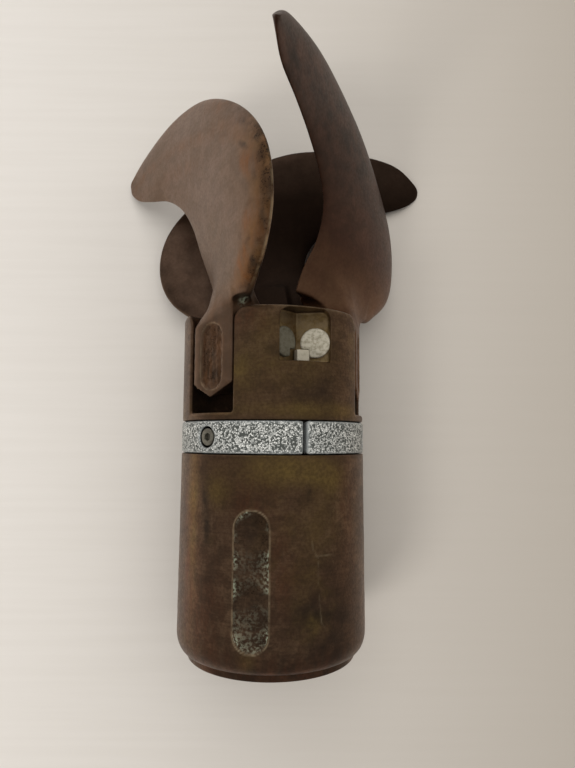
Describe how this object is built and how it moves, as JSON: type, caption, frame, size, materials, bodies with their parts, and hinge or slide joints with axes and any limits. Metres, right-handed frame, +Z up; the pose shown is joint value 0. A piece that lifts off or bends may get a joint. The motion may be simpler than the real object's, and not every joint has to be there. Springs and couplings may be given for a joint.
{
  "type": "three-blade folding boat propeller",
  "caption": "Folding bronze boat propeller with geared blades on a splined hub, lying on its side, blades almost folded.",
  "frame": {"origin": "on the surface it lies on, below the centre of its bounding box", "axes": "+Y runs aft along the hub, which climbs 1.4 degrees toward the blades; +Z is up; +X is to the right seen from the front"},
  "size_m": [0.203, 0.3194, 0.1768],
  "materials": {
    "hub_bronze": "dark brown patina with olive and brass patches",
    "blade_bronze": "brown patina, copper bright along worn edges",
    "sleeve_bronze": "machined, dull",
    "anode_metal": "pitted, crystalline grey",
    "stainless_steel": "turned ends, bright",
    "key_steel": "dull, lightly stained",
    "black_rubber": "matt"
  },
  "bodies": {
    "hub": {"hub_casting": "hub_bronze", "spline_sleeve": "sleeve_bronze", "rubber_bush": "black_rubber", "anode_segment_1": "anode_metal", "anode_segment_2": "anode_metal", "anode_segment_3": "anode_metal", "anode_screw_1": "stainless_steel", "anode_screw_2": "stainless_steel", "anode_screw_3": "stainless_steel", "hinge_pin_1": "stainless_steel", "hinge_pin_2": "stainless_steel", "hinge_pin_3": "stainless_steel", "lock_key_1": "key_steel", "lock_key_2": "key_steel", "lock_key_3": "key_steel"},
    "blade_1": {"blade_1": "blade_bronze"},
    "blade_2": {"blade_2": "blade_bronze"},
    "blade_3": {"blade_3": "blade_bronze"}
  },
  "joints": [
    {"name": "blade_1_fold", "type": "hinge", "parent": "hub", "child": "blade_1", "pos_m": [-0.01831, 0.00967, 0.07897], "axis": [0.7615, -0.017, 0.6479], "range_deg": [-4, 82]},
    {"name": "blade_2_fold", "type": "hinge", "parent": "hub", "child": "blade_2", "pos_m": [0.02933, 0.01011, 0.06201], "axis": [0.1805, 0.0258, -0.9832], "range_deg": [-4, 82]},
    {"name": "blade_3_fold", "type": "hinge", "parent": "hub", "child": "blade_3", "pos_m": [-0.00918, 0.01097, 0.02924], "axis": [-0.9421, -0.0088, 0.3353], "range_deg": [-4, 82]}
  ],
  "couplings": [
    {"joint": "blade_1_fold", "follows": "blade_2_fold", "ratio": 1},
    {"joint": "blade_3_fold", "follows": "blade_2_fold", "ratio": 1}
  ]
}
